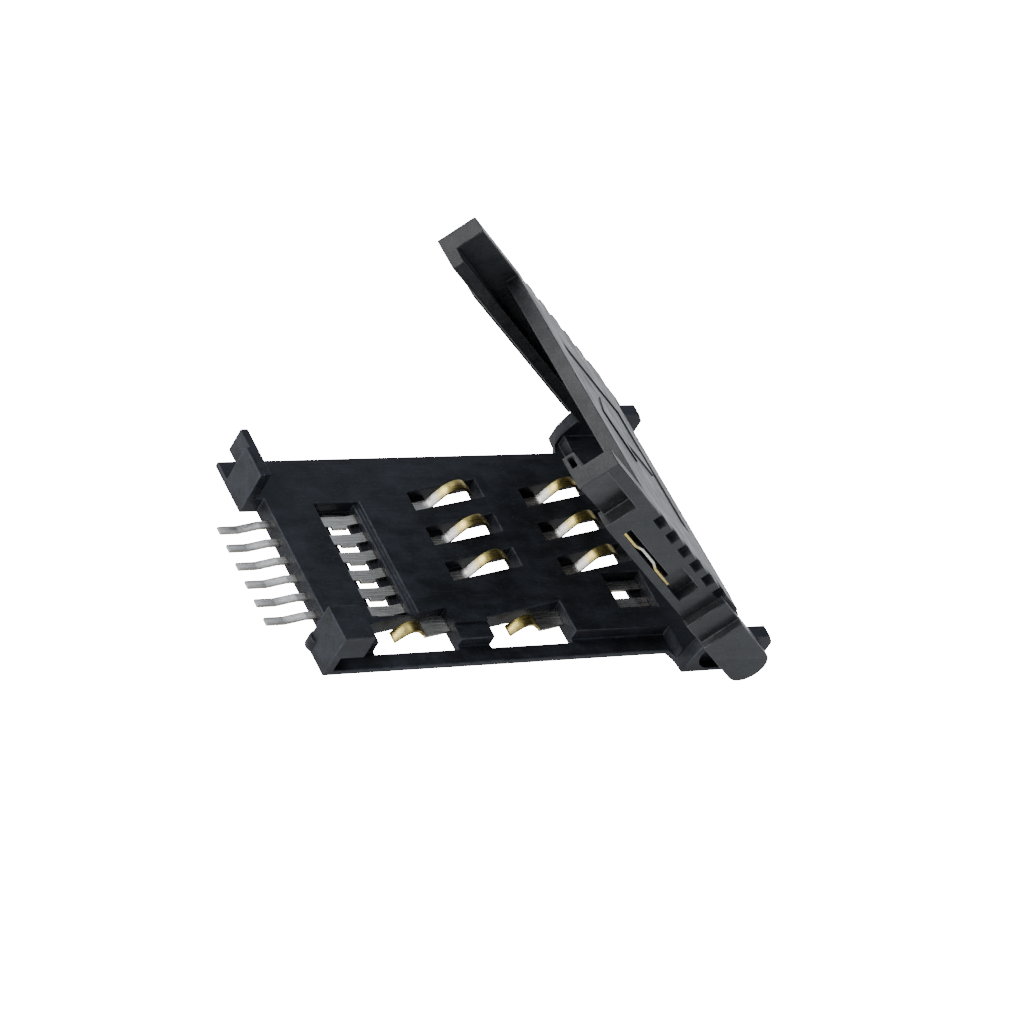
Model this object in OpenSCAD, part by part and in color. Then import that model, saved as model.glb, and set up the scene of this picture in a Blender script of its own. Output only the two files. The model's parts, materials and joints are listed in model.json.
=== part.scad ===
// Hinged card socket for a 25 x 15 mm card: moulded housing, sprung card contacts,
// a sliding hinged lid and a two-pole lid switch.
// +X points to the hinge end, +Z up from the board, origin under the middle of the housing.

/* [Housing] */
// Length of the housing along the card
base_length = 28.66; // [28.2:0.02:29.2]
// Width of the housing over its low side ledges
base_width = 14.8; // [14.6:0.05:14.9]
// Height of the raised body that holds the contacts
body_height = 1.1; // [1:0.05:1.12]
// Width of the low ledge on each long side of the body
ledge_width = 1.15; // [1.05:0.05:1.3]
// Thickness of the side ledges
ledge_thickness = 0.35; // [0.3:0.01:0.38]
// Distance from the latch faces back to the wall that the tails leave
tail_wall_setback = 1.1; // [0.9:0.05:1.3]
// Distance from the hinge end back to the wall that the switch tails leave
hinge_wall_setback = 1.48; // [1.4:0.02:1.6]

/* [Latches] */
// Height of the latch posts above the board
latch_height = 2.95; // [2.8:0.05:3.1]
// Thickness of the latch end walls
latch_wall = 0.5; // [0.4:0.05:0.6]
// Length of the near latch head along X
latch_head_length = 1.45; // [1.2:0.05:1.6]
// Height of the latch heads
latch_head_height = 1.6; // [1.4:0.05:1.65]
// Width of the near latch wall
latch_width = 2.3; // [2:0.05:2.5]
// Width of the far latch wall
far_latch_width = 2.1; // [1.9:0.05:2.3]
// Inward shift of the far latch wall behind its overhanging head
far_latch_inset = 1.3; // [1.1:0.05:1.5]

/* [Hinge] */
// Radius of the moulded hinge pins
pin_radius = 1.04; // [0.9:0.01:1.06]
// Play of the pins in their slots
pin_play = 0.08; // [0.05:0.01:0.12]
// Height of the hinge axis above the board
axis_height = 1.4; // [1.38:0.01:1.5]
// Travel of the pins along the slots, from locked to free
slide_travel = 1.63; // [1.5:0.01:1.8]
// Wall left round the slots at the card end
ear_wall = 0.48; // [0.4:0.02:0.6]
// Wall left behind the slots on the inner face of the ears
ear_web = 0.2; // [0.15:0.01:0.25]
// Thickness of the hinge ears
ear_thickness = 0.8; // [0.7:0.05:0.85]
// Radius of the rounded ends of the hinge ears
ear_radius = 1.4; // [1.3:0.01:1.4]
// Length of the hinge ears along X
ear_length = 5.3; // [5.2:0.02:5.5]
// Gap between the ledge and the inner face of the ears
ear_standoff = 0.57; // [0.5:0.01:0.65]

/* [Lid] */
// Angle of the lid above its closed place
lid_angle = 39; // [0:1:100]
// Thickness of the lid over rails and plate
lid_thickness = 2.4; // [2.3:0.05:2.5]
// Height of the closed rails above the side ledges
rail_lift = 0.1; // [0.05:0.01:0.15]
// Thickness of the rail walls
rail_wall = 1.05; // [0.95:0.05:1.2]
// Gap between the rail walls and the side ledges
rail_play = 0.35; // [0.3:0.05:0.4]
// Gap along the lid between the hinge ears and the rails
rail_setback = 1.2; // [1:0.05:1.4]
// Reach of the card lips in from the rail walls
lip_reach = 1; // [0.9:0.05:1.02]
// Thickness of the card lips
lip_thickness = 0.7; // [0.65:0.01:0.75]
// Thickness of the lid plate
plate_thickness = 0.8; // [0.7:0.05:0.85]
// Length of the finger opening at the free end
finger_opening = 5.15; // [4.5:0.05:5.5]
// Thickness of the hinge arms
arm_thickness = 0.9; // [0.7:0.05:1]
// Gap between the arms and the ears
arm_play = 0.08; // [0.05:0.01:0.12]
// Radius of the rounded arm ends
arm_radius = 1.25; // [1.15:0.01:1.3]
// Number of grip notches on each long side
notch_count = 6; // [4:1:6]
// Spacing of the grip notches
notch_pitch = 1.96; // [1.8:0.02:2.1]
// Width of a grip notch
notch_width = 1.1; // [0.9:0.05:1.3]
// Height of a grip notch
notch_height = 0.52; // [0.4:0.02:0.6]
// Depth of a grip notch
notch_depth = 0.5; // [0.3:0.05:0.7]

/* [Contacts] */
// Spacing of the two contact columns on the card
column_pitch = 7.62; // [7.5:0.01:7.7]
// Spacing of neighbouring tails, half the spacing of the card rows
tail_pitch = 1.27; // [1.24:0.01:1.3]
// Offset of the middle contact row from the card's centre line
row_offset = 1.39; // [1.2:0.01:1.5]
// Distance from the locked hinge axis to the nearer contact column
column_to_axis = 4.05; // [3.9:0.01:4.2]
// Thickness of the contact strip
strip_thickness = 0.18; // [0.15:0.01:0.2]
// Width of the springs of the card contacts
spring_width = 0.63; // [0.5:0.01:0.65]
// Width of the springs of the switch contacts
switch_width = 0.72; // [0.6:0.01:0.75]
// Width of the root plates of the switch contacts
switch_root_width = 1.12; // [0.9:0.01:1.15]
// Width of the tails
tail_width = 0.48; // [0.4:0.01:0.52]
// Width of the tabs that show in the comb windows
tab_width = 0.66; // [0.6:0.01:0.7]
// Reach of the tails out of the housing
tail_reach = 3; // [2.8:0.05:3.4]
// Reach of the switch tails out of the hinge end
switch_tail_reach = 2.35; // [2.3:0.05:2.6]
// Height of the middle of the moulded-in leads above the board
lead_height = 0.4; // [0.38:0.01:0.45]
// Height of the card spring crests above the board
crest_height = 1.86; // [1.7:0.01:1.9]
// Height of the switch spring crests above the board
switch_crest_height = 0.96; // [0.9:0.01:1.1]
// Radius of the card spring crests
crest_radius = 1.1; // [0.9:0.05:1.15]
// Radius of the switch spring crests
switch_crest_radius = 0.9; // [0.8:0.05:0.95]
// Width of the spring pockets
pocket_width = 1.28; // [1.2:0.01:1.3]
// Length of the spring pockets
pocket_length = 5; // [4.9:0.05:5.2]
// Gap left round the moulded-in leads
lead_fit = 0.02; // [0.01:0.005:0.03]

/* [Switch strip] */
// Thickness of the bridging strip
bridge_thickness = 0.15; // [0.12:0.01:0.18]
// Gap round the strip in its slot
bridge_fit = 0.02; // [0.01:0.005:0.03]
// Height of the slot that shows in the lid's side
bridge_slot_height = 0.46; // [0.42:0.01:0.48]

/* [Hidden] */
over = 0.01;
big = 60;
bend_steps = 8;
curve_fn = 64;

left_x = -base_length / 2;
right_x = base_length / 2;
side_y = base_width / 2;
body_y = side_y - ledge_width;
tail_wall_x = left_x + tail_wall_setback;
hinge_wall_x = right_x - hinge_wall_setback;

slot_radius = pin_radius + pin_play;
ear_left_x = right_x - ear_length;
locked_axis_x = ear_left_x + ear_wall + slot_radius;
free_axis_x = locked_axis_x + slide_travel;
ear_in_y = side_y + ear_standoff;
ear_out_y = ear_in_y + ear_thickness;
ear_top = axis_height + ear_radius;
ear_cut = [0.5, 0.6];
ear_end_x = right_x - 0.25;
near_pad_reach = 0.25;
foot_chamfer = [0.59, 0.21, 0.16];
foot_chamfer_y = 0.64;
foot_toe = 0.25;
card_stop_height = 0.35;
card_stop_width = 0.6;

head_under = latch_height - latch_head_height;
head_right_x = left_x + latch_wall + latch_head_length;
far_latch_y1 = side_y - far_latch_inset;
far_latch_y0 = far_latch_y1 - far_latch_width;
far_head_y1 = side_y - 0.05;
far_head_setback = 0.22;
far_head_rise = 0.06;
near_latch_y1 = latch_width - side_y;
foot_boss = [0.5, 0.78];
foot_boss_inset = [0.32, 0.3];

wall_in_y = side_y + rail_play;
wall_out_y = wall_in_y + rail_wall;
lip_in_y = wall_in_y - lip_reach;
lid_bottom = ledge_thickness + rail_lift - axis_height;
lid_top = lid_bottom + lid_thickness;
lip_top = lid_bottom + lip_thickness;
plate_under = lid_top - plate_thickness;
skirt_drop = 0.25;
lock_gap = 0.41;
free_end_u = locked_axis_x - left_x - latch_wall - lock_gap;
rail_start_u = free_axis_x - ear_left_x + rail_setback;
plate_end_u = free_end_u - finger_opening;
plate_start_u = 1.9;
plate_bevel = [2.2, 0.3];
arm_in_y = ear_out_y + arm_play;
arm_out_y = arm_in_y + arm_thickness;
arm_start_u = rail_start_u + 0.05;
web_length = 2.25;
web_end_u = arm_start_u + web_length;
step_u = plate_end_u + 0.45;
relief_gap = 0.12;
relief_depth = [0.3, 0.75];
relief_height = 1.65;
web_out_y = arm_in_y + arm_thickness / 2;
web_in_y = wall_out_y - over;
pin_in_y = ear_in_y + ear_web + 0.05;
notch_first_u = plate_end_u - 2.1;

lead_slope = tail_pitch / column_pitch;
right_column_x = locked_axis_x - column_to_axis;
left_column_x = right_column_x - column_pitch;
row_pitch = 2 * tail_pitch;
comb_setback = 2.95;
comb_x0 = tail_wall_x + comb_setback;
comb_length = 2.75;
comb_to_bend = 2;
comb_bend_x = comb_x0 + comb_to_bend;
comb_slot = [0.85, 1.4];
comb_margin = [0.5, 0.5];
comb_slot_margin = [0.1, 0.2];
comb_step = [0.25, 0.3];
tab_start = 0.45;
tie_stub = [0.95, 0.2];
first_tail_y = row_offset + row_pitch - lead_slope * (left_column_x - comb_bend_x);
pocket_lead = 2.82;
pocket_root = 1.55;
root_show = 0.06;
card_spring = [1.35, 1.6, 0.85, 0.45];
switch_spring = [0.8, 1.17, 0.25, 0.24];
card_knee_radius = 0.6;
switch_knee_radius = 0.35;
tail_low = 1.15;
tail_rise = 1.2;
tail_bend_radius = 0.7;
strip_half = strip_thickness / 2;

switch_shift = 0.76;
switch_crest_x = [left_column_x - column_pitch + switch_shift, left_column_x + switch_shift];
switch_row_y = 1.12 - body_y;
switch_bend_setback = 6.35;
switch_bend_x = hinge_wall_x - switch_bend_setback;
switch_window = [2.8, 2.6];
switch_far_gap = 0.62;
switch_near_y = 0.18 + body_y;
front_shelf = [1.05, 0.13];
hinge_comb_x0 = switch_bend_x - 0.35;
hinge_comb_length = 2.7;
hinge_slot = [0.85, 1.15];
hinge_comb_margin = [0.14, 0.5];
hinge_slot_margin = [0.5, 0.2];

bridge_mid_u = locked_axis_x - (switch_crest_x[0] + switch_crest_x[1]) / 2 - 0.5;
bridge_length = column_pitch - 0.6;
bridge_bend_radius = 0.2;
bridge_bends = [0.5, 0.3, 0.2, 0.4];
lip_key = [1.2, 0.3, 0.17];
bridge_slot_top = lip_top - 0.02;
bridge_slot_bottom = bridge_slot_top - bridge_slot_height;
bridge_out_y = wall_out_y - 0.08;
bridge_in_y = lip_in_y + 0.15;
bridge_step = 0.16;
side_pocket = [2.9, 1.25, 0.6];
side_pocket_end = 0.9;

// Arc of radius r that rounds corner b between a and c.
function corner(a, b, c, r) =
    let (
        p = (a - b) / norm(a - b),
        q = (c - b) / norm(c - b),
        half = acos(p * q) / 2,
        reach = r / tan(half),
        centre = b + (p + q) / norm(p + q) * r / sin(half),
        from = b + p * reach - centre,
        to = b + q * reach - centre,
        turn = acos(max(-1, min(1, from * to / (r * r)))),
        side = sign(from[0] * to[1] - from[1] * to[0])
    )
    [for (i = [0:bend_steps])
        let (t = side * turn * i / bend_steps)
        centre + [from[0] * cos(t) - from[1] * sin(t), from[0] * sin(t) + from[1] * cos(t)]];

// Path through points with each inner corner rounded by its own radius.
function rounded(points, radii) =
    [points[0],
     for (i = [1:len(points) - 2])
        each corner(points[i - 1], points[i], points[i + 1], radii[i - 1]),
     points[len(points) - 1]];

// Unit normal of a path at point i.
function path_normal(path, i) =
    let (
        a = path[max(0, i - 1)],
        b = path[min(len(path) - 1, i + 1)],
        d = (b - a) / norm(b - a)
    )
    [-d[1], d[0]];

// Closed outline of a strip of the given half thickness along a path.
function ribbon(path, half) =
    let (n = len(path) - 1)
    concat(
        [for (i = [0:n]) path[i] + half * path_normal(path, i)],
        [for (i = [n:-1:0]) path[i] - half * path_normal(path, i)]);

// Side view of a contact: tail foot, bend, lead, spring knee, crest and tip.
// out is the foot end and crest the place of the crest. spring holds the distances from the
// crest back to the knee and on to the tip, the height of the tip, and how far the sharp
// corner stands above the rounded crest, in crest radii.
function contact_path(out, crest, spring, top, knee_radius, radius) =
    let (s = sign(crest - out))
    rounded(
        [[out, strip_half],
         [out + s * tail_low, strip_half],
         [out + s * (tail_low + tail_rise), lead_height],
         [crest - s * spring[0], lead_height],
         [crest, top - strip_half + spring[3] * radius],
         [crest + s * spring[1], spring[2]]],
        [tail_bend_radius, tail_bend_radius, knee_radius, radius]);

// Height of a lead's centre line across the part at x, oblique past its bend.
function card_y(tail, x) =
    first_tail_y - tail * tail_pitch + lead_slope * max(0, x - comb_bend_x);
function card_crest_x(tail) = tail % 2 == 0 ? left_column_x : right_column_x;
function switch_y(i, x) =
    switch_row_y + lead_slope * (min(x, switch_bend_x) - switch_crest_x[i]);

// Block between two corners.
module span(a, b) {
    translate(a) cube(b - a);
}

// Upright slab cut from an outline in X and Z, between two places across the part.
module side_slab(outline, y0, y1) {
    translate([0, y1, 0])
        rotate([90, 0, 0])
        linear_extrude(height = y1 - y0)
        polygon(outline);
}

// Plan outline of an oblique strip of given width from x0 to x1, ends square to Y.
module oblique(x0, x1, y0, y1, width) {
    polygon([[x0, y0 - width / 2], [x1, y1 - width / 2], [x1, y1 + width / 2], [x0, y0 + width / 2]]);
}

// Plan of a card contact, grown by fit where it is used as a cutter.
module card_plan(tail, fit) {
    y = card_y(tail, left_x);
    crest = card_crest_x(tail);
    end_x = crest + card_spring[1];
    tail_w = tail_width + 2 * fit;
    foot_x = tail_wall_x - tail_reach;
    translate([foot_x - fit, y - tail_w / 2])
        square([comb_bend_x - foot_x, tail_w]);
    translate([comb_x0 - tab_start - fit, y - tab_width / 2 - fit])
        square([comb_bend_x - comb_x0 + tab_start + 2 * fit, tab_width + 2 * fit]);
    translate([comb_bend_x - 0.1 - tie_stub[0], y - tab_width / 2 - tie_stub[1]])
        square(tie_stub + [0, 0.1]);
    oblique(comb_bend_x, end_x, y, card_y(tail, end_x), spring_width + 2 * fit);
}

// Plan of a switch contact, grown by fit where it is used as a cutter.
module switch_plan(i, fit) {
    y = switch_y(i, switch_bend_x);
    end_x = switch_crest_x[i] - switch_spring[1];
    root_x = switch_crest_x[i] + switch_spring[0];
    root_end_x = switch_crest_x[i] + switch_window[1] - lead_fit;
    tail_w = tail_width + 2 * fit;
    foot_x = hinge_wall_x + switch_tail_reach;
    translate([switch_bend_x, y - tail_w / 2])
        square([foot_x - switch_bend_x + fit, tail_w]);
    translate([switch_bend_x - fit, y - tab_width / 2 - fit])
        square([hinge_comb_x0 + hinge_comb_length + tab_start - switch_bend_x + 2 * fit, tab_width + 2 * fit]);
    oblique(end_x, switch_bend_x, switch_y(i, end_x), y, switch_width + 2 * fit);
    oblique(root_x, root_end_x + fit, switch_y(i, root_x), switch_y(i, root_end_x), switch_root_width + 2 * fit);
}

module card_contact(tail) {
    path = contact_path(tail_wall_x - tail_reach, card_crest_x(tail), card_spring, crest_height,
        card_knee_radius, crest_radius);
    color("goldenrod")
        intersection() {
            linear_extrude(height = 2 * crest_height)
                card_plan(tail, 0);
            side_slab(ribbon(path, strip_half), -side_y, side_y);
        }
}

module switch_contact(i) {
    path = contact_path(hinge_wall_x + switch_tail_reach, switch_crest_x[i], switch_spring,
        switch_crest_height, switch_knee_radius, switch_crest_radius);
    color("goldenrod")
        intersection() {
            linear_extrude(height = 2 * crest_height)
                switch_plan(i, 0);
            side_slab(ribbon(path, strip_half), -side_y, side_y);
        }
}

// Slots that the moulded-in leads leave in the plastic.
module lead_channels() {
    translate([0, 0, lead_height - strip_half - lead_fit])
        linear_extrude(height = strip_thickness + 2 * lead_fit) {
            for (tail = [0:5])
                card_plan(tail, lead_fit);
            for (i = [0:1])
                switch_plan(i, lead_fit);
        }
}

// Pockets of the six card springs: open below the springs, with a floor under their roots.
module spring_pockets() {
    for (tail = [0:5]) {
        x0 = card_crest_x(tail) - pocket_lead;
        x1 = x0 + pocket_length;
        open_x = x0 + pocket_root;
        translate([0, 0, lead_height + strip_half - root_show])
            linear_extrude(height = body_height)
            oblique(x0, x1, card_y(tail, x0), card_y(tail, x1), pocket_width);
        translate([0, 0, -over])
            linear_extrude(height = body_height)
            oblique(open_x, x1, card_y(tail, open_x), card_y(tail, x1), pocket_width);
    }
}

// Open windows of the two switch springs, with a shelf between them along the front.
module switch_windows() {
    for (i = [0:1]) {
        x0 = switch_crest_x[i] - switch_window[0];
        x1 = switch_crest_x[i] + switch_window[1];
        translate([0, 0, -over])
            linear_extrude(height = body_height + 2 * over)
            polygon([[x0, -switch_near_y], [x1, -switch_near_y],
                [x1, switch_y(i, x1) + switch_far_gap], [x0, switch_y(i, x0) + switch_far_gap]]);
    }
    span([switch_crest_x[0], -body_y - over, body_height - front_shelf[1]],
        [switch_crest_x[1], front_shelf[0] - body_y, body_height + over]);
}

// Window over the tabs by the tails: a recess, a through slot and a thin step.
module comb_window() {
    y0 = card_y(5, left_x) - tab_width / 2 - comb_margin[1];
    y1 = card_y(0, left_x) + tab_width / 2 + comb_margin[0];
    x1 = comb_x0 + comb_length;
    span([comb_x0, y0, lead_height - strip_half - lead_fit], [x1, y1, body_height + over]);
    span([comb_x0, y0, body_height - comb_step[1]], [x1 + comb_step[0], y1, body_height + over]);
    span([comb_x0 + comb_slot[0], y0 + comb_slot_margin[0], -over],
        [comb_x0 + comb_slot[0] + comb_slot[1], y1 - comb_slot_margin[1], body_height]);
}

// Window over the two switch tabs near the hinge.
module hinge_window() {
    y0 = switch_y(1, right_x) - tab_width / 2 - hinge_comb_margin[1];
    y1 = switch_y(0, right_x) + tab_width / 2 + hinge_comb_margin[0];
    x0 = hinge_comb_x0 + hinge_slot[0];
    span([hinge_comb_x0, y0, lead_height - strip_half - lead_fit],
        [hinge_comb_x0 + hinge_comb_length, y1, body_height + over]);
    span([x0, y0 + hinge_slot_margin[0], -over], [x0 + hinge_slot[1], y1 - hinge_slot_margin[1], body_height]);
}

// Latch post at the near left corner, its wall flush with the front edge.
module near_latch() {
    span([left_x, -side_y, 0], [left_x + latch_wall, near_latch_y1, latch_height]);
    span([left_x, -side_y, head_under], [head_right_x, near_latch_y1, latch_height]);
    span([left_x, -body_y, 0], [head_right_x, near_latch_y1, latch_height]);
    translate([left_x + foot_boss_inset[0], near_latch_y1 - foot_boss_inset[1], 0])
        cylinder(r = foot_boss[0], h = foot_boss[1], $fn = curve_fn);
}

// Latch post at the far left corner, its head overhanging a wall that is set in.
module far_latch() {
    wall_x = left_x + latch_wall;
    head_x = left_x + far_head_setback;
    span([left_x, far_latch_y0, 0], [wall_x, far_latch_y1, latch_height]);
    span([head_x, far_latch_y0, head_under], [head_x + latch_wall, far_head_y1, latch_height + far_head_rise]);
    span([wall_x - over, far_latch_y0, 0], [tail_wall_x + over, body_y, body_height]);
}

// Hinge ear: rounded at the card end and cut at the hinge end, with a blind slot for the lid's
// pin in its outer face. The pad beside it starts pad_reach ahead of the ear, and the card
// end tapers into a toe that stands foot_height above the board.
module ear(pad_reach, foot_height) {
    slot_y = ear_in_y + ear_web;
    slot_depth = ear_thickness - ear_web + over;
    round_x = ear_left_x + ear_radius;
    difference() {
        union() {
            side_slab([[ear_left_x, 0], [ear_end_x, 0], [ear_end_x, ear_top - ear_cut[1]],
                [ear_end_x - ear_cut[0], ear_top], [round_x, ear_top], [round_x, axis_height],
                [ear_left_x, axis_height]], ear_in_y, ear_out_y);
            linear_extrude(height = ledge_thickness)
                polygon([[ear_left_x - foot_chamfer[0], side_y - over],
                    [ear_left_x - foot_chamfer[1], side_y + foot_chamfer_y],
                    [ear_left_x - foot_chamfer[2], ear_out_y],
                    [right_x, ear_out_y], [right_x, side_y - over]]);
            hull() {
                translate([round_x, ear_in_y, axis_height])
                    rotate([-90, 0, 0])
                    cylinder(r = ear_radius, h = ear_thickness, $fn = curve_fn);
                linear_extrude(height = foot_height)
                    polygon([[ear_left_x - foot_toe, ear_in_y],
                        [ear_left_x - foot_chamfer[2], ear_out_y],
                        [round_x, ear_out_y], [round_x, ear_in_y]]);
            }
            span([ear_left_x - pad_reach, body_y - over, 0], [hinge_wall_x, ear_in_y + over, body_height]);
        }
        for (x = [locked_axis_x, free_axis_x])
            translate([x, slot_y, axis_height])
                rotate([-90, 0, 0])
                cylinder(r = slot_radius, h = slot_depth, $fn = curve_fn);
        span([locked_axis_x, slot_y, axis_height - slot_radius],
            [free_axis_x, slot_y + slot_depth, axis_height + slot_radius]);
    }
}

module housing() {
    color("#24262c")
        difference() {
            union() {
                span([tail_wall_x, -side_y, 0], [hinge_wall_x, side_y, ledge_thickness]);
                span([left_x, -side_y, 0], [tail_wall_x + over, near_latch_y1, ledge_thickness]);
                span([left_x, far_latch_y0, 0], [tail_wall_x + over, side_y, ledge_thickness]);
                span([tail_wall_x, -body_y, 0], [hinge_wall_x, body_y, body_height]);
                span([hinge_wall_x - card_stop_width, -body_y, 0],
                    [hinge_wall_x, body_y, body_height + card_stop_height]);
                near_latch();
                far_latch();
                ear(0, body_height);
                mirror([0, 1, 0]) ear(near_pad_reach, ledge_thickness);
            }
            lead_channels();
            spring_pockets();
            switch_windows();
            comb_window();
            hinge_window();
        }
}

// Block in the lid's own directions: u from the hinge to the free end, y across, w out.
module lid_span(u, y, w) {
    span([-u[1], y[0], w[0]], [-u[0], y[1], w[1]]);
}

// Half of the lid on the far side; the near half is its mirror image.
module lid_side() {
    lid_span([rail_start_u, free_end_u], [wall_in_y - over, wall_out_y], [lid_bottom, lid_top]);
    lid_span([rail_start_u, step_u], [wall_in_y, wall_out_y], [lid_bottom - skirt_drop, lid_top]);
    lid_span([rail_start_u, free_end_u], [lip_in_y, wall_in_y], [lid_bottom, lip_top]);
    lid_span([rail_start_u, web_end_u], [web_in_y, web_out_y], [-arm_radius, arm_radius]);
    lid_span([0, arm_start_u], [arm_in_y, arm_out_y], [-arm_radius, arm_radius]);
    lid_span([arm_start_u - over, web_end_u], [arm_in_y, web_out_y], [-arm_radius, arm_radius]);
    translate([0, arm_in_y, 0])
        rotate([-90, 0, 0])
        cylinder(r = arm_radius, h = arm_thickness, $fn = curve_fn);
    translate([0, pin_in_y, 0])
        rotate([-90, 0, 0])
        cylinder(r = pin_radius, h = arm_in_y - pin_in_y + over, $fn = curve_fn);
}

// Grip notches and the side recess of one long side.
module lid_side_cuts() {
    for (i = [0:notch_count - 1]) {
        u = notch_first_u - i * notch_pitch;
        lid_span([u - notch_width / 2, u + notch_width / 2],
            [wall_out_y - notch_depth, wall_out_y + over], [lid_top - notch_height, lid_top + over]);
    }
    translate([0, 0, lid_bottom - skirt_drop - over])
        linear_extrude(height = relief_height + skirt_drop)
        polygon([[relief_gap - free_end_u, wall_out_y + over],
            [relief_gap - free_end_u, wall_out_y - relief_depth[0]],
            [-step_u, wall_out_y - relief_depth[1]], [-step_u, wall_out_y + over]]);
}

// Plate between the rails, bevelled towards the hinge.
module lid_plate() {
    side_slab([[-plate_end_u, plate_under], [-plate_start_u, plate_under],
        [-plate_start_u, lid_top - plate_bevel[1]], [-plate_start_u - plate_bevel[0], lid_top],
        [-plate_end_u, lid_top]], -wall_in_y, wall_in_y);
}

// Slot of the switch strip and the pocket at its end, in the near side.
module switch_slot() {
    u0 = bridge_mid_u - bridge_length / 2;
    u1 = bridge_mid_u + bridge_length / 2;
    pocket_u = u0 + side_pocket_end;
    lid_span([u0 - bridge_fit, u1 + bridge_fit], [-wall_out_y - over, -bridge_in_y + bridge_fit],
        [bridge_slot_bottom, bridge_slot_top]);
    lid_span([pocket_u - side_pocket[0], pocket_u], [-wall_out_y - over, -wall_out_y + side_pocket[2]],
        [bridge_slot_bottom, bridge_slot_bottom + side_pocket[1]]);
    lid_span([free_end_u - lip_key[0], free_end_u + over], [-wall_in_y + lip_key[2], -lip_in_y - lip_key[2]],
        [lip_top - lip_key[2] - lip_key[1], lip_top - lip_key[2]]);
}

// Recessed panel and slide arrow on the outer face.
module lid_marks() {
    panel = [9.4, 9, 0.08];
    tip_x = 1.2;
    neck_x = 3.6;
    end_x = 8.2;
    shaft = 0.9;
    head = 2.4;
    mid_u = (plate_start_u + plate_bevel[0] + plate_end_u) / 2;
    translate([-mid_u - panel[0] / 2, 0, lid_top - panel[2]])
        linear_extrude(height = panel[2] + over)
        difference() {
            translate([0, -panel[1] / 2]) square([panel[0], panel[1]]);
            polygon([[tip_x, 0], [neck_x, head], [neck_x, shaft], [end_x, shaft],
                [end_x, -shaft], [neck_x, -shaft], [neck_x, -head]]);
        }
}

// Turns a lid piece to its open place on the hinge axis.
module on_hinge() {
    translate([free_axis_x, 0, axis_height])
        rotate([0, lid_angle, 0])
        children();
}

module lid() {
    color("#2b2d33")
        on_hinge()
        difference() {
            union() {
                lid_side();
                mirror([0, 1, 0]) lid_side();
                lid_plate();
            }
            lid_side_cuts();
            mirror([0, 1, 0]) lid_side_cuts();
            switch_slot();
            lid_marks();
        }
}

// Flat spring strip that joins the two switch contacts when the lid is locked.
module switch_strip() {
    low = bridge_slot_bottom + bridge_fit + bridge_thickness / 2;
    high = low + bridge_step;
    half = bridge_length / 2;
    u = [-half, -half * bridge_bends[0], -half * bridge_bends[1], half * bridge_bends[2],
        half * bridge_bends[3], half];
    z = [low, low, high, high, low, low];
    path = rounded([for (i = [0:5]) [u[i] - bridge_mid_u, z[i]]], [for (i = [1:4]) bridge_bend_radius]);
    color("gold")
        on_hinge()
        side_slab(ribbon(path, bridge_thickness / 2), -bridge_out_y, -bridge_in_y);
}

housing();
lid();
card_contact(0);  // card_contact_1
card_contact(1);  // card_contact_2
card_contact(2);  // card_contact_3
card_contact(3);  // card_contact_4
card_contact(4);  // card_contact_5
card_contact(5);  // card_contact_6
switch_contact(0);  // switch_contact_1
switch_contact(1);  // switch_contact_2
switch_strip();
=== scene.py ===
"""Dresses a hinged card socket: rounded moulded edges, plated contacts and a plain studio."""
import json
import math

import bmesh
import bpy
from bpy.props import FloatProperty, FloatVectorProperty, PointerProperty
from mathutils import Matrix, Vector


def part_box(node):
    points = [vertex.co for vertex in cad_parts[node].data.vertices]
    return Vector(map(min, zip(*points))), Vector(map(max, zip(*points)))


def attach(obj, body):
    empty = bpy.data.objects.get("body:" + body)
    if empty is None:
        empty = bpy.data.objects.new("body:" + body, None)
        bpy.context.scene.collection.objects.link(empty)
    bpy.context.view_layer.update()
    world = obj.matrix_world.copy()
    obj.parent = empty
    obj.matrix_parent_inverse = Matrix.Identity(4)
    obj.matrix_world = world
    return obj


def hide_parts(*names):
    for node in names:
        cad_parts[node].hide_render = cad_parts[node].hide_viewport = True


bl_info = {
    "name": "Card socket",
    "version": (1, 0, 0),
    "blender": (4, 5, 0),
    "location": "3D View > Sidebar > Card socket",
    "description": "Finishes the pieces of a hinged card socket and sets up a plain studio for it",
    "category": "Object",
}

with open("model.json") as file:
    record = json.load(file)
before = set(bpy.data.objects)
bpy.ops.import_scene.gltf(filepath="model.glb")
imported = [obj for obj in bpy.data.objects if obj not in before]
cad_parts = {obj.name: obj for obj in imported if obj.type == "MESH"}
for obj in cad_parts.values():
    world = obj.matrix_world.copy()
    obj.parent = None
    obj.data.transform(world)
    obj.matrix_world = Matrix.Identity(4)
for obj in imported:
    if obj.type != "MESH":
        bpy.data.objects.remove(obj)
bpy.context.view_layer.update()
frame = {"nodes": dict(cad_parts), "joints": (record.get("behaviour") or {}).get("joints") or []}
MM = 0.001
CARD_CONTACTS = [f"card_contact_{i}" for i in range(1, 7)]
SWITCH_CONTACTS = ["switch_contact_1", "switch_contact_2"]
HINGE = next(j for j in frame["joints"] if j["name"] == "lid_hinge")
LID_OPEN = math.radians(39)  # the lid's turn from flat, as the frame shows it

# Rounding of the edges
WORN_AND_HIGHLIT_EDGE = "worn_and_highlit_edge"  # face attribute of the rounded edges, which the plastic paints paler: partly wear, partly a painted edge highlight
MERGE_DISTANCE = 0.001 * MM
FLAT_ANGLE = math.radians(1)  # faces that turn by less than this become one
ROUNDING_SEGMENTS = 2
ROUNDING_TRIES = 6
ROOM_WIDTHS = 2.4  # shortest edge across the end of a rounded one, in widths of the rounding
RUNS_ON_COSINE = -0.7  # past an end, edges that go on within about 45 degrees don't cross
FOLD_REACH_WIDTHS = 3  # edges that end this near a fold, in widths of the rounding, stay sharp
FOLD_LIMIT = 0.0001 * MM * MM  # smaller turned triangles are only rounding errors

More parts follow.
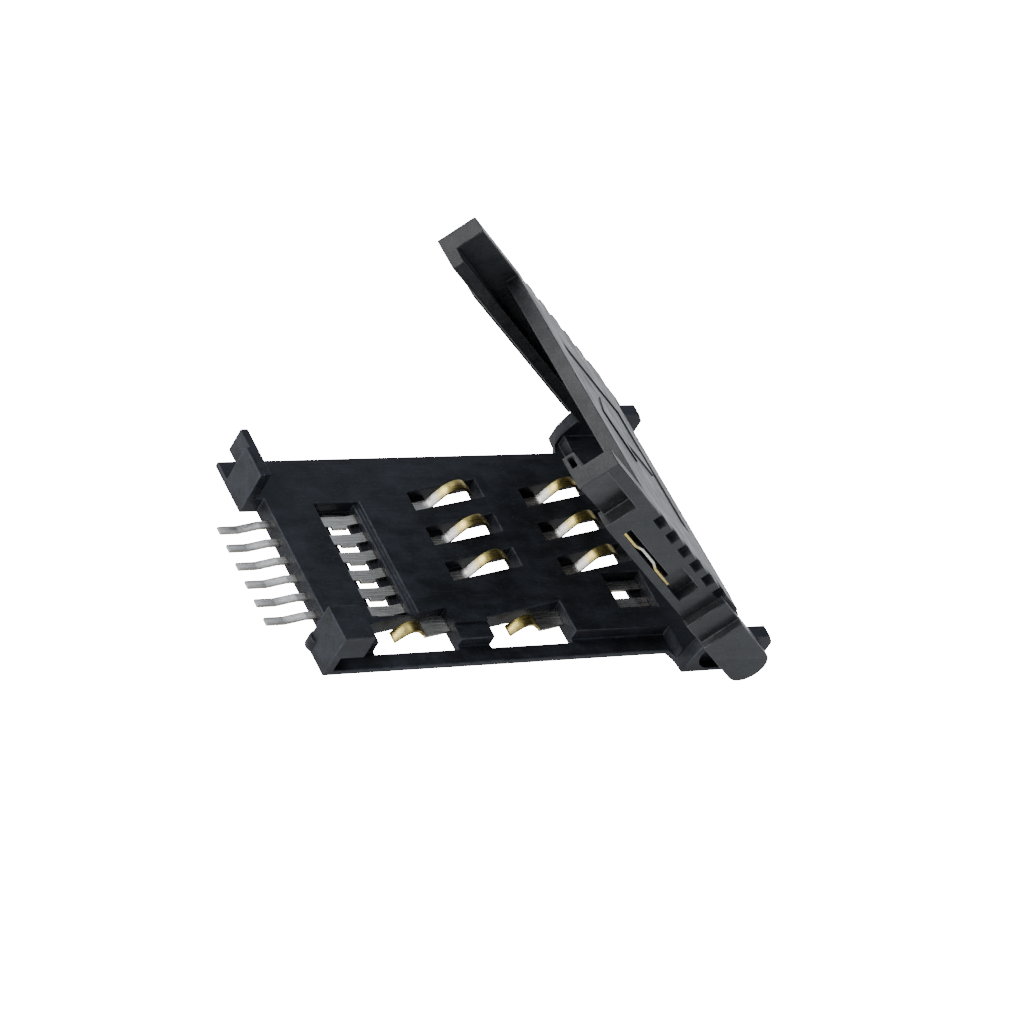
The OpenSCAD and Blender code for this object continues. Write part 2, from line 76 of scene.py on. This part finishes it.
# Finishes
HOUSING_ROUGHNESS = 0.32
LID_ROUGHNESS = 0.22
SHEARED_BARE = 0.6  # how far sheared edges show the bronze
CARD_GOLD_FROM = 0.9 * MM  # height at which gold starts on the card contacts
CARD_GOLD_FULL = 1.35 * MM
SWITCH_GOLD = 1.9 * MM  # length of the switch springs that is gold, from their tips
SWITCH_FADE = 0.2 * MM
STRIP_STEP = 0.555 * MM  # how far the middle of the strip's step lies inward of the hinge axis
STRIP_FADE = 0.01 * MM

# Studio
FLOOR_SIDES = 96
FLOOR_GAP = 0.01 * MM  # keeps the floor clear of the flat underside
LIGHT_AIM = (0, 0, 5 * MM)
WHITE = (1, 1, 1)
COOL_WHITE = (0.9, 0.95, 1)
KEY_SIZE, KEY_PLACE = 0.2, (-0.26, 0.22, 0.26)
BACK_SIZE, BACK_PLACE = 0.3, (0.1, 0.33, 0.55)
FILL_SIZE, FILL_PLACE = 0.12, (-0.36, -0.06, 0.065)
SENSOR_WIDTH = 36  # in millimetres, as Blender takes it
NEAR_CLIP = 0.01


def linear(hex_colour):
    """Linear RGB of an sRGB hex colour such as #1a2b3c."""
    parts = [int(hex_colour[i:i + 2], 16) / 255 for i in (1, 3, 5)]
    return tuple(c / 12.92 if c <= 0.04045 else ((c + 0.055) / 1.055) ** 2.4 for c in parts)


class SocketEdges(bpy.types.PropertyGroup):
    """Sizes of the rounded edges."""

    moulded: FloatProperty(
        name="Moulded edge", description="Width of the rounding on the moulded edges",
        default=0.07 * MM, min=0.01 * MM, max=0.12 * MM, precision=6, unit="LENGTH")
    stamped: FloatProperty(
        name="Stamped edge", description="Width of the rounding on the stamped strips",
        default=0.03 * MM, min=0.01 * MM, max=0.05 * MM, precision=6, unit="LENGTH")
    sharp: FloatProperty(
        name="Sharp from", description="Edges that turn by more than this are rounded",
        default=math.radians(40), subtype="ANGLE")


class SocketFinish(bpy.types.PropertyGroup):
    """Colours of the finishes."""

    housing_deep: FloatVectorProperty(
        name="Housing, deep", description="Darker tone of the housing's plastic",
        default=linear("#1d1e20"), size=3, min=0, max=1, subtype="COLOR")
    housing_pale: FloatVectorProperty(
        name="Housing, pale", description="Paler tone of the housing's plastic",
        default=linear("#2f3136"), size=3, min=0, max=1, subtype="COLOR")
    lid_deep: FloatVectorProperty(
        name="Lid, deep", description="Darker tone of the lid's plastic",
        default=linear("#252627"), size=3, min=0, max=1, subtype="COLOR")
    lid_pale: FloatVectorProperty(
        name="Lid, pale", description="Paler tone of the lid's plastic",
        default=linear("#323334"), size=3, min=0, max=1, subtype="COLOR")
    tin: FloatVectorProperty(
        name="Tin", description="Matte tin on tails and roots",
        default=linear("#efece3"), size=3, min=0, max=1, subtype="COLOR")
    gold: FloatVectorProperty(
        name="Gold", description="Gold on the spring crests",
        default=linear("#ead37c"), size=3, min=0, max=1, subtype="COLOR")
    bronze: FloatVectorProperty(
        name="Bronze", description="Bare strip metal on sheared edges",
        default=linear("#8f8468"), size=3, min=0, max=1, subtype="COLOR")
    solder: FloatVectorProperty(
        name="Solder", description="Dull tin on the feet of the tails",
        default=linear("#a3a3a0"), size=3, min=0, max=1, subtype="COLOR")


class SocketStage(bpy.types.PropertyGroup):
    """Camera, floor and lights."""

    camera_place: FloatVectorProperty(
        name="Camera", description="Place of the camera",
        default=(-135.473 * MM, -118.127 * MM, 141.865 * MM), size=3, subtype="TRANSLATION")
    camera_aim: FloatVectorProperty(
        name="Aim", description="Direction in which the camera looks",
        default=(0.59704, 0.52177, -0.60935), size=3, subtype="DIRECTION")
    camera_roll: FloatProperty(
        name="Roll", description="Turn of the camera about its line of sight",
        default=math.radians(32.75), subtype="ANGLE")
    lens: FloatProperty(
        name="Lens", description="Focal length on a 36 mm sensor",
        default=146.54, unit="CAMERA")
    floor_radius: FloatProperty(
        name="Floor", description="Radius of the round floor",
        default=1.5, unit="LENGTH")
    floor_glow: FloatProperty(
        name="Floor glow", description="Light that the pale floor throws on the part",
        default=0.5, min=0)
    floor_white: FloatProperty(
        name="Floor white", description="Brightness of the floor itself in a picture",
        default=24.0, min=0)
    sky: FloatVectorProperty(
        name="Sky", description="Dim blue-grey of the room above the floor",
        default=linear("#a3aab9"), size=3, min=0, max=1, subtype="COLOR")
    key_power: FloatProperty(
        name="Key", description="Power of the large soft light at the upper left",
        default=0.75, min=0, unit="POWER")
    back_power: FloatProperty(
        name="Back", description="Power of the large soft light behind the part",
        default=0.35, min=0, unit="POWER")
    fill_power: FloatProperty(
        name="Fill", description="Power of the low soft light at the left",
        default=0.7, min=0, unit="POWER")


def add_node(tree, kind, inputs=None, **settings):
    """Adds a node, sets its properties, and fills or links its inputs."""
    node = tree.nodes.new(kind)
    for name, value in settings.items():
        setattr(node, name, value)
    for name, value in (inputs or {}).items():
        if isinstance(value, bpy.types.NodeSocket):
            tree.links.new(value, node.inputs[name])
        else:
            node.inputs[name].default_value = value
    return node


def new_material(name):
    """Empty node material with its output node; returns the material, its tree and the output."""
    material = bpy.data.materials.new(name)
    material.use_nodes = True
    material.node_tree.nodes.clear()
    output = material.node_tree.nodes.new("ShaderNodeOutputMaterial")
    return material, material.node_tree, output


def moulded_plastic(name, deep, pale, flow_turn, roughness):
    """Glass-filled liquid crystal polymer straight from the mould: near-black and satin. Melt flow
    leaves faint streaks and clouds, glass fibres show as pale flecks, the spark-eroded mould gives
    a fine grain, handling adds thin scuffs, and the rounded edges are painted paler than the flats,
    partly as wear and partly as a painted edge highlight. The flow is turned by flow_turn about Y,
    and roughness is that of the glossiest spots."""
    streak_mm = (2.6, 0.9, 0.9)
    cloud_mm = 1.7
    # The fibres are about 0.01 mm thick and the real grain is about 0.02 mm wide: both are drawn
    # coarser so that they show.
    fleck_mm = (0.22, 0.12, 0.12)
    grain_mm = 0.09
    scuff_mm = (3.5, 0.08, 0.3)
    scuff_turn = math.radians(38)
    edge_mottle_mm = 0.6
    mark_lift = 2.4  # flecks, scuffs and the paler rounded edges (wear and painted edge highlight) against the pale tone
    roughness_spread = 0.2
    grain_height = 0.4
    scuff_depth = 0.3
    material, tree, output = new_material(name)
    place = add_node(tree, "ShaderNodeTexCoord")
    along = add_node(tree, "ShaderNodeMapping", {
        "Vector": place.outputs["Object"], "Rotation": (0, flow_turn, 0),
        "Scale": [1 / (s * MM) for s in streak_mm]})
    streak = add_node(tree, "ShaderNodeTexNoise", {
        "Vector": along.outputs["Vector"], "Scale": 1.0, "Detail": 5.0, "Roughness": 0.6})
    cloud = add_node(tree, "ShaderNodeTexNoise", {
        "Vector": place.outputs["Object"], "Scale": 1 / (cloud_mm * MM),
        "Detail": 6.0, "Roughness": 0.62})
    fibre = add_node(tree, "ShaderNodeMapping", {
        "Vector": place.outputs["Object"], "Rotation": (0, flow_turn, 0),
        "Scale": [1 / (s * MM) for s in fleck_mm]})
    fleck = add_node(tree, "ShaderNodeTexNoise", {
        "Vector": fibre.outputs["Vector"], "Scale": 1.0, "Detail": 2.0})
    grain = add_node(tree, "ShaderNodeTexNoise", {
        "Vector": place.outputs["Object"], "Scale": 1 / (grain_mm * MM), "Detail": 2.0})
    across = add_node(tree, "ShaderNodeMapping", {
        "Vector": place.outputs["Object"], "Rotation": (0, flow_turn, scuff_turn),
        "Scale": [1 / (s * MM) for s in scuff_mm]})
    scuff = add_node(tree, "ShaderNodeTexNoise", {
        "Vector": across.outputs["Vector"], "Scale": 1.0, "Detail": 2.0})
    edge_mottle = add_node(tree, "ShaderNodeTexNoise", {
        "Vector": place.outputs["Object"], "Scale": 1 / (edge_mottle_mm * MM),
        "Detail": 5.0, "Roughness": 0.7})
    flow = add_node(tree, "ShaderNodeMath", {
        0: streak.outputs["Fac"], 1: cloud.outputs["Fac"]}, operation="MULTIPLY")
    tone = add_node(tree, "ShaderNodeMapRange", {
        "Value": flow.outputs["Value"], "From Min": 0.16, "From Max": 0.36})
    flecks = add_node(tree, "ShaderNodeMapRange", {
        "Value": fleck.outputs["Fac"], "From Min": 0.58, "From Max": 0.8, "To Max": 0.4})
    scuffs = add_node(tree, "ShaderNodeMapRange", {
        "Value": scuff.outputs["Fac"], "From Min": 0.64, "From Max": 0.8, "To Max": 0.4})
    marks = add_node(tree, "ShaderNodeMath", {
        0: flecks.outputs["Result"], 1: scuffs.outputs["Result"]}, operation="MAXIMUM")
    # Rounded edges painted paler: partly wear, partly a painted highlight along the edges, broken
    # up by a mottle
    edge = add_node(tree, "ShaderNodeAttribute", attribute_name=WORN_AND_HIGHLIT_EDGE)
    edge_mottle_range = add_node(tree, "ShaderNodeMapRange", {
        "Value": edge_mottle.outputs["Fac"], "From Min": 0.35, "From Max": 0.65,
        "To Min": 0.1, "To Max": 0.8})
    wear_and_highlight = add_node(tree, "ShaderNodeMath", {
        0: edge.outputs["Fac"], 1: edge_mottle_range.outputs["Result"]}, operation="MULTIPLY")
    pale_mark_and_highlight = add_node(tree, "ShaderNodeMath", {
        0: marks.outputs["Value"], 1: wear_and_highlight.outputs["Value"]}, operation="MAXIMUM")
    body = add_node(tree, "ShaderNodeMix", {
        "Factor": tone.outputs["Result"], "A": (*deep, 1), "B": (*pale, 1)}, data_type="RGBA")
    marked = add_node(tree, "ShaderNodeMix", {
        "Factor": pale_mark_and_highlight.outputs["Value"], "A": body.outputs["Result"],
        "B": (*[mark_lift * c for c in pale], 1)}, data_type="RGBA")
    shader = add_node(tree, "ShaderNodeBsdfPrincipled", {
        "Base Color": marked.outputs["Result"], "IOR": 1.52, "Specular IOR Level": 0.2})
    tree.links.new(shader.outputs["BSDF"], output.inputs["Surface"])
    rough = add_node(tree, "ShaderNodeMapRange", {
        "Value": cloud.outputs["Fac"], "From Min": 0.3, "From Max": 0.7,
        "To Min": roughness, "To Max": roughness + roughness_spread})
    tree.links.new(rough.outputs["Result"], shader.inputs["Roughness"])
    height = add_node(tree, "ShaderNodeMath", {
        0: grain.outputs["Fac"], 1: grain_height, 2: streak.outputs["Fac"]},
        operation="MULTIPLY_ADD")
    dents = add_node(tree, "ShaderNodeMath", {
        0: scuffs.outputs["Result"], 1: -scuff_depth, 2: height.outputs["Value"]},
        operation="MULTIPLY_ADD")
    bump = add_node(tree, "ShaderNodeBump", {
        "Height": dents.outputs["Value"], "Strength": 0.45, "Distance": 0.02 * MM})
    tree.links.new(bump.outputs["Normal"], shader.inputs["Normal"])
    return material


def plated_strip(name, finish, turn, up, gold_from, gold_to, bare):
    """Rolled phosphor bronze, stamped and plated: matte tin where it is soldered, gold where it
    touches. Rolling leaves fine lines along the strip, shearing leaves bare, darker edges, and
    the feet that meet the solder are dull. The lines are turned by turn about Y, tin changes to
    gold from gold_from to gold_to along the direction up, and bare is how far the sheared edges
    show the bronze."""
    line_mm = (1.6, 0.07, 0.07)  # rolling lines are nearer 0.01 mm; drawn coarser so that they show
    stain_mm = 0.35
    wander = 0.16 * MM  # how far the edge of the gold strays
    foot_full, foot_end = 0.2 * MM, 0.3 * MM
    tin_roughness, gold_roughness = 0.33, 0.24
    line_roughness = 0.14
    material, tree, output = new_material(name)
    place = add_node(tree, "ShaderNodeTexCoord")
    shape = add_node(tree, "ShaderNodeNewGeometry")
    along = add_node(tree, "ShaderNodeMapping", {
        "Vector": place.outputs["Object"], "Rotation": (0, turn, 0),
        "Scale": [1 / (s * MM) for s in line_mm]})
    lines = add_node(tree, "ShaderNodeTexNoise", {
        "Vector": along.outputs["Vector"], "Scale": 1.0, "Detail": 4.0, "Roughness": 0.65})
    stain = add_node(tree, "ShaderNodeTexNoise", {
        "Vector": place.outputs["Object"], "Scale": 1 / (stain_mm * MM), "Detail": 4.0})
    rise = add_node(tree, "ShaderNodeVectorMath", {
        0: place.outputs["Object"], 1: up}, operation="DOT_PRODUCT")
    wobble = add_node(tree, "ShaderNodeMath", {
        0: stain.outputs["Fac"], 1: wander, 2: rise.outputs["Value"]}, operation="MULTIPLY_ADD")
    gilt = add_node(tree, "ShaderNodeMapRange", {
        "Value": wobble.outputs["Value"],
        "From Min": gold_from + wander / 2, "From Max": gold_to + wander / 2},
        interpolation_type="SMOOTHSTEP")
    plating = add_node(tree, "ShaderNodeMix", {
        "Factor": gilt.outputs["Result"], "A": (*finish.tin, 1), "B": (*finish.gold, 1)},
        data_type="RGBA")
    spot = add_node(tree, "ShaderNodeSeparateXYZ", {"Vector": place.outputs["Object"]})
    foot = add_node(tree, "ShaderNodeMapRange", {
        "Value": spot.outputs["Z"], "From Min": foot_end, "From Max": foot_full},
        interpolation_type="SMOOTHSTEP")
    dull = add_node(tree, "ShaderNodeMath", {
        0: foot.outputs["Result"], 1: stain.outputs["Fac"]}, operation="MULTIPLY")
    soldered = add_node(tree, "ShaderNodeMix", {
        "Factor": dull.outputs["Value"], "A": plating.outputs["Result"], "B": (*finish.solder, 1)},
        data_type="RGBA")
    facing = add_node(tree, "ShaderNodeSeparateXYZ", {"Vector": shape.outputs["Normal"]})
    side = add_node(tree, "ShaderNodeMath", {0: facing.outputs["Y"]}, operation="ABSOLUTE")
    sheared = add_node(tree, "ShaderNodeMapRange", {
        "Value": side.outputs["Value"], "From Min": 0.75, "From Max": 0.95, "To Max": bare})
    metal = add_node(tree, "ShaderNodeMix", {
        "Factor": sheared.outputs["Result"], "A": soldered.outputs["Result"],
        "B": (*finish.bronze, 1)}, data_type="RGBA")
    shade = add_node(tree, "ShaderNodeMapRange", {
        "Value": lines.outputs["Fac"], "From Min": 0.34, "From Max": 0.66,
        "To Min": 0.6, "To Max": 1.1})
    toned = add_node(tree, "ShaderNodeVectorMath", {
        0: metal.outputs["Result"], "Scale": shade.outputs["Result"]}, operation="SCALE")
    shader = add_node(tree, "ShaderNodeBsdfPrincipled", {
        "Base Color": toned.outputs["Vector"], "Metallic": 1.0})
    polish = add_node(tree, "ShaderNodeMapRange", {
        "Value": gilt.outputs["Result"], "To Min": tin_roughness, "To Max": gold_roughness})
    rough = add_node(tree, "ShaderNodeMath", {
        0: lines.outputs["Fac"], 1: line_roughness, 2: polish.outputs["Result"]},
        operation="MULTIPLY_ADD")
    tree.links.new(rough.outputs["Value"], shader.inputs["Roughness"])
    bump = add_node(tree, "ShaderNodeBump", {
        "Height": lines.outputs["Fac"], "Strength": 0.4, "Distance": 0.01 * MM})
    tree.links.new(bump.outputs["Normal"], shader.inputs["Normal"])
    tree.links.new(shader.outputs["BSDF"], output.inputs["Surface"])
    return material


def merged_copy(node_name):
    """Copy of a CAD node's mesh with its loose triangles merged into flat faces."""
    bm = bmesh.new()
    bm.from_mesh(frame["nodes"][node_name].data)
    bm.faces.layers.float.new(WORN_AND_HIGHLIT_EDGE)
    bmesh.ops.remove_doubles(bm, verts=bm.verts, dist=MERGE_DISTANCE)
    bmesh.ops.dissolve_limit(bm, angle_limit=FLAT_ANGLE, verts=bm.verts, edges=bm.edges)
    # Vertices with two edges lie on straight lines or are spikes in an outline
    idle = [v for v in bm.verts if len(v.link_edges) == 2]
    bmesh.ops.dissolve_verts(bm, verts=idle)
    bm.edges.index_update()
    return bm


def room_for(edge, width):
    """True if the edges that cross the ends of this one are long enough for its rounding."""
    for end in edge.verts:
        along = (edge.other_vert(end).co - end.co).normalized()
        for other in end.link_edges:
            outward = (other.other_vert(end).co - end.co).normalized()
            runs_on = along.dot(outward) < RUNS_ON_COSINE
            short = other.calc_length() < ROOM_WIDTHS * width
            if other is not edge and not runs_on and short:
                return False
    return True


def folded_points(bm):
    """Corners of the triangles that lie against their own face, which is where a rounding folds."""
    bm.normal_update()
    points = []
    for corners in bm.calc_loop_triangles():
        a, b, c = (corner.vert.co.copy() for corner in corners)
        if (b - a).cross(c - a).dot(corners[0].face.normal) < -FOLD_LIMIT:
            points += [a, b, c]
    return points


def rounded_mesh(node_name, width, sharp):
    """Merged copy of a node with its sharp edges rounded. Edges whose rounding would fold are
    left sharp, so the rounding is tried again without them until nothing folds."""
    reach = FOLD_REACH_WIDTHS * width
    left_sharp = set()
    for attempt in range(ROUNDING_TRIES):
        bm = merged_copy(node_name)
        edges = [e for e in bm.edges if e.calc_face_angle() > sharp and room_for(e, width)
                 and e.index not in left_sharp]
        ends = [(e.index, v.co.copy()) for e in edges for v in e.verts]
        rounding = bmesh.ops.bevel(
            bm, geom=edges, offset=width, offset_type="OFFSET", segments=ROUNDING_SEGMENTS,
            profile=0.5, affect="EDGES", material=-1)
        folded = folded_points(bm)
        if not folded:
            break
        if attempt < ROUNDING_TRIES - 1:
            left_sharp.update(
                i for i, end in ends if any((end - p).length < reach for p in folded))
            bm.free()
    # Marks the rounded faces that the plastic paints paler: edge wear and a painted edge highlight
    wear_and_highlight = bm.faces.layers.float[WORN_AND_HIGHLIT_EDGE]
    for face in rounding["faces"]:
        face[wear_and_highlight] = 1.0
    return bm


def rounded_piece(node_name, piece_name, body, width, sharp, material):
    """Adds a copy of a CAD node with merged faces and rounded edges, standing for the node."""
    bm = rounded_mesh(node_name, width, sharp)
    for face in bm.faces:
        face.smooth = True
        face.material_index = 0
    for edge in bm.edges:
        edge.smooth = edge.calc_face_angle(0) < sharp
    mesh = bpy.data.meshes.new(piece_name)
    bm.to_mesh(mesh)
    bm.free()
    mesh.materials.append(material)
    piece = bpy.data.objects.new(piece_name, mesh)
    bpy.context.scene.collection.objects.link(piece)
    flat = piece.modifiers.new("Flat faces", "WEIGHTED_NORMAL")
    flat.keep_sharp = True
    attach(piece, body)
    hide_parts(node_name)


class OBJECT_OT_socket_housing(bpy.types.Operator):
    """Rounds the moulded edges of the housing and gives it its plastic"""

    bl_idname = "object.socket_housing"
    bl_label = "Housing"

    def execute(self, context):
        edges, finish = context.scene.socket_edges, context.scene.socket_finish
        plastic = moulded_plastic(
            "Moulded black LCP", finish.housing_deep, finish.housing_pale,
            flow_turn=0, roughness=HOUSING_ROUGHNESS)
        rounded_piece("housing", "moulded_housing", "base",
                      edges.moulded, edges.sharp, plastic)
        return {"FINISHED"}


class OBJECT_OT_socket_lid(bpy.types.Operator):
    """Rounds the moulded edges of the lid and gives it its plastic"""

    bl_idname = "object.socket_lid"
    bl_label = "Lid"

    def execute(self, context):
        edges, finish = context.scene.socket_edges, context.scene.socket_finish
        plastic = moulded_plastic(
            "Moulded black LCP lid", finish.lid_deep, finish.lid_pale,
            flow_turn=LID_OPEN, roughness=LID_ROUGHNESS)
        rounded_piece("lid", "moulded_lid", "lid",
                      edges.moulded, edges.sharp, plastic)
        return {"FINISHED"}


class OBJECT_OT_socket_card_contacts(bpy.types.Operator):
    """Rounds and plates the six card contacts"""

    bl_idname = "object.socket_card_contacts"
    bl_label = "Card contacts"

    def execute(self, context):
        edges, finish = context.scene.socket_edges, context.scene.socket_finish
        metal = plated_strip(
            "Tin and gold plated bronze", finish, turn=0, up=(0, 0, 1),
            gold_from=CARD_GOLD_FROM, gold_to=CARD_GOLD_FULL, bare=SHEARED_BARE)
        for name in CARD_CONTACTS:
            rounded_piece(name, f"plated_{name}", "base",
                          edges.stamped, edges.sharp, metal)
        return {"FINISHED"}


class OBJECT_OT_socket_switch_contacts(bpy.types.Operator):
    """Rounds and plates the two switch contacts"""

    bl_idname = "object.socket_switch_contacts"
    bl_label = "Switch contacts"

    def execute(self, context):
        edges, finish = context.scene.socket_edges, context.scene.socket_finish
        for name in SWITCH_CONTACTS:
            gold_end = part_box(name)[0][0] + SWITCH_GOLD
            metal = plated_strip(
                f"Tin and gold plated bronze, {name}", finish, turn=0, up=(-1, 0, 0),
                gold_from=-gold_end - SWITCH_FADE, gold_to=-gold_end, bare=SHEARED_BARE)
            rounded_piece(name, f"plated_{name}", "base",
                          edges.stamped, edges.sharp, metal)
        return {"FINISHED"}


class OBJECT_OT_socket_switch_strip(bpy.types.Operator):
    """Rounds and plates the bridging strip in the lid"""

    bl_idname = "object.socket_switch_strip"
    bl_label = "Switch strip"

    def execute(self, context):
        edges, finish = context.scene.socket_edges, context.scene.socket_finish
        inward = (-math.sin(LID_OPEN), 0, -math.cos(LID_OPEN))
        level = Vector(inward).dot(Vector(HINGE["pos_m"])) + STRIP_STEP
        metal = plated_strip(
            "Gold plated strip bronze", finish, turn=LID_OPEN, up=inward,
            gold_from=level - STRIP_FADE, gold_to=level + STRIP_FADE, bare=0.0)
        rounded_piece("switch_strip", "plated_switch_strip", "lid",
                      edges.stamped, edges.sharp, metal)
        return {"FINISHED"}


def soft_light(name, power, size, place, colour):
    """Square soft light at a place, turned to the part."""
    light = bpy.data.lights.new(name, "AREA")
    light.energy = power
    light.size = size
    light.color = colour
    lamp = bpy.data.objects.new(name, light)
    lamp.location = place
    lamp.rotation_euler = (Vector(LIGHT_AIM) - Vector(place)).to_track_quat("-Z", "Y").to_euler()
    bpy.context.scene.collection.objects.link(lamp)


class SCENE_OT_socket_stage(bpy.types.Operator):
    """Sets up the pale floor, the soft lights and the camera"""

    bl_idname = "scene.socket_stage"
    bl_label = "Studio"

    def execute(self, context):
        stage = context.scene.socket_stage
        self.lay_floor(stage)
        self.light_room(context.scene, stage)
        self.place_camera(context.scene, stage)
        return {"FINISHED"}

    def lay_floor(self, stage):
        """Round floor, white in a picture and a weaker glow on the part."""
        bm = bmesh.new()
        bmesh.ops.create_circle(
            bm, cap_ends=True, radius=stage.floor_radius, segments=FLOOR_SIDES)
        bmesh.ops.translate(bm, verts=bm.verts, vec=(0, 0, -FLOOR_GAP))
        mesh = bpy.data.meshes.new("pale_floor")
        bm.to_mesh(mesh)
        bm.free()
        material, tree, output = new_material("Lit opal acrylic")
        path = add_node(tree, "ShaderNodeLightPath")
        glow = add_node(tree, "ShaderNodeMapRange", {
            "Value": path.outputs["Is Camera Ray"],
            "To Min": stage.floor_glow, "To Max": stage.floor_white})
        shader = add_node(tree, "ShaderNodeBsdfPrincipled", {
            "Base Color": (0.8, 0.8, 0.8, 1), "Roughness": 0.8, "Emission Color": (1, 1, 1, 1),
            "Emission Strength": glow.outputs["Result"]})
        tree.links.new(shader.outputs["BSDF"], output.inputs["Surface"])
        mesh.materials.append(material)
        floor = bpy.data.objects.new("pale_floor", mesh)
        bpy.context.scene.collection.objects.link(floor)

    def light_room(self, scene, stage):
        """Even blue-grey room and three soft lights."""
        world = bpy.data.worlds.new("dim_room")
        world.use_nodes = True
        background = world.node_tree.nodes["Background"]
        background.inputs["Color"].default_value = (*stage.sky, 1)
        background.inputs["Strength"].default_value = 1.0
        scene.world = world
        soft_light("key_softbox", stage.key_power, KEY_SIZE, KEY_PLACE, WHITE)
        soft_light("back_softbox", stage.back_power, BACK_SIZE, BACK_PLACE, COOL_WHITE)
        soft_light("fill_softbox", stage.fill_power, FILL_SIZE, FILL_PLACE, WHITE)

    def place_camera(self, scene, stage):
        """Camera at its place, aimed and then rolled about its line of sight."""
        forward = Vector(stage.camera_aim).normalized()
        level = forward.cross(Vector((0, 0, 1))).normalized()
        upright = level.cross(forward)
        roll = stage.camera_roll
        right = math.cos(roll) * level + math.sin(roll) * upright
        up = math.cos(roll) * upright - math.sin(roll) * level
        turn = Matrix((right, up, -forward)).transposed().to_4x4()
        data = bpy.data.cameras.new("camera")
        data.lens = stage.lens
        data.sensor_width = SENSOR_WIDTH
        data.clip_start = NEAR_CLIP
        camera = bpy.data.objects.new("camera", data)
        camera.matrix_world = Matrix.Translation(stage.camera_place) @ turn
        scene.collection.objects.link(camera)
        scene.camera = camera


class VIEW3D_PT_socket(bpy.types.Panel):
    """Sidebar panel of the card socket"""

    bl_label = "Card socket"
    bl_idname = "VIEW3D_PT_socket"
    bl_space_type = "VIEW_3D"
    bl_region_type = "UI"
    bl_category = "Card socket"

    def draw(self, context):
        scene = context.scene
        for group in (scene.socket_edges, scene.socket_finish, scene.socket_stage):
            box = self.layout.box()
            for name in group.__annotations__:
                box.prop(group, name)
        for operator in OPERATORS:
            self.layout.operator(operator.bl_idname)


GROUPS = {"socket_edges": SocketEdges, "socket_finish": SocketFinish, "socket_stage": SocketStage}
OPERATORS = (
    OBJECT_OT_socket_housing, OBJECT_OT_socket_lid, OBJECT_OT_socket_card_contacts,
    OBJECT_OT_socket_switch_contacts, OBJECT_OT_socket_switch_strip, SCENE_OT_socket_stage,
)
CLASSES = (*GROUPS.values(), *OPERATORS, VIEW3D_PT_socket)


def register():
    for cls in CLASSES:
        bpy.utils.register_class(cls)
    for name, group in GROUPS.items():
        setattr(bpy.types.Scene, name, PointerProperty(type=group))


def unregister():
    for name in GROUPS:
        delattr(bpy.types.Scene, name)
    for cls in reversed(CLASSES):
        bpy.utils.unregister_class(cls)


def main():
    register()
    bpy.ops.object.socket_housing()
    bpy.ops.object.socket_lid()
    bpy.ops.object.socket_card_contacts()
    bpy.ops.object.socket_switch_contacts()
    bpy.ops.object.socket_switch_strip()
    bpy.ops.scene.socket_stage()


if __name__ == "__main__":
    main()
